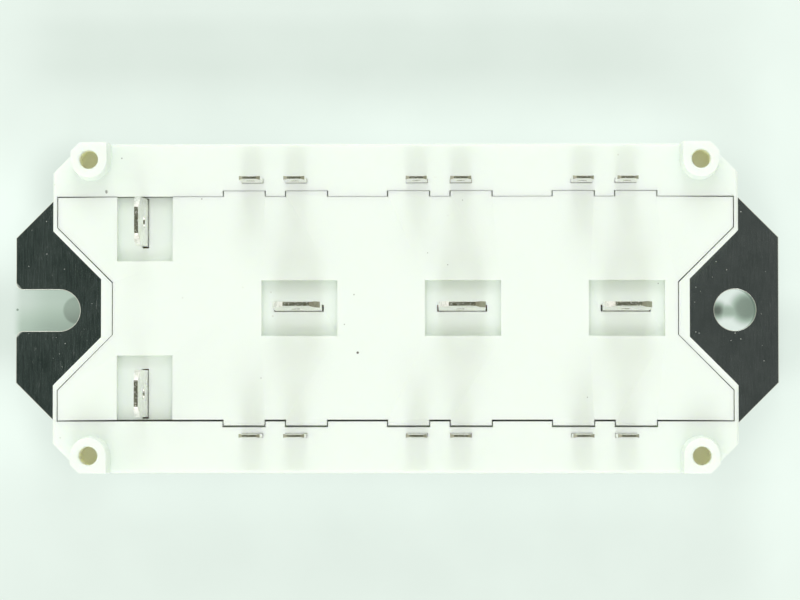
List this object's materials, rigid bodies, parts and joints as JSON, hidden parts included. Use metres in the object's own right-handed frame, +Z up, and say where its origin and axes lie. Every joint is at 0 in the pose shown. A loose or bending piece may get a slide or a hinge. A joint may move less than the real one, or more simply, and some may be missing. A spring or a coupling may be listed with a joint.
{
  "type": "igbt module",
  "caption": "Three-phase IGBT power module: white moulded frame and lid with fast-on tabs on a nickel-plated screw-down base plate.",
  "frame": {"origin": "centre of the base plate's underside", "axes": "+X along the module from the slotted end to the end with the round hole, +Z up out of the lid"},
  "size_m": [0.105, 0.045, 0.0205],
  "materials": {
    "nickel_plate": "bright nickel plating over rolled copper, finely brushed",
    "frame_plastic": "white glass-filled polyester, fine mould texture",
    "lid_plastic": "white glass-filled polyester, fine mould texture",
    "tinned_tab": "tinned copper with sheared edges",
    "tinned_pin": "tinned copper alloy with sheared edges",
    "copper": "etched copper foil",
    "ceramic": "fired alumina",
    "silicon": "metallised silicon chip",
    "bond_wire": "soft drawn aluminium wire",
    "silicone_gel": "clear soft silicone gel"
  },
  "bodies": {
    "root": {"base_plate": "nickel_plate", "frame": "frame_plastic", "lid": "lid_plastic", "terminal_dc_plus": "tinned_tab", "terminal_dc_minus": "tinned_tab", "terminal_u": "tinned_tab", "terminal_v": "tinned_tab", "terminal_w": "tinned_tab", "gate_1": "tinned_pin", "gate_2": "tinned_pin", "gate_3": "tinned_pin", "gate_4": "tinned_pin", "gate_5": "tinned_pin", "gate_6": "tinned_pin", "emitter_1": "tinned_pin", "emitter_2": "tinned_pin", "emitter_3": "tinned_pin", "emitter_4": "tinned_pin", "emitter_5": "tinned_pin", "emitter_6": "tinned_pin", "copper_under_dc": "copper", "copper_under_u": "copper", "copper_under_v": "copper", "copper_under_w": "copper", "ceramic_dc": "ceramic", "ceramic_u": "ceramic", "ceramic_v": "ceramic", "ceramic_w": "ceramic", "copper_tracks_dc": "copper", "copper_tracks_u": "copper", "copper_tracks_v": "copper", "copper_tracks_w": "copper", "igbt_1": "silicon", "igbt_2": "silicon", "igbt_3": "silicon", "igbt_4": "silicon", "igbt_5": "silicon", "igbt_6": "silicon", "diode_1": "silicon", "diode_2": "silicon", "diode_3": "silicon", "diode_4": "silicon", "diode_5": "silicon", "diode_6": "silicon", "bond_wires_dc": "bond_wire", "bond_wires_u": "bond_wire", "bond_wires_v": "bond_wire", "bond_wires_w": "bond_wire", "gel": "silicone_gel"}
  },
  "joints": []
}
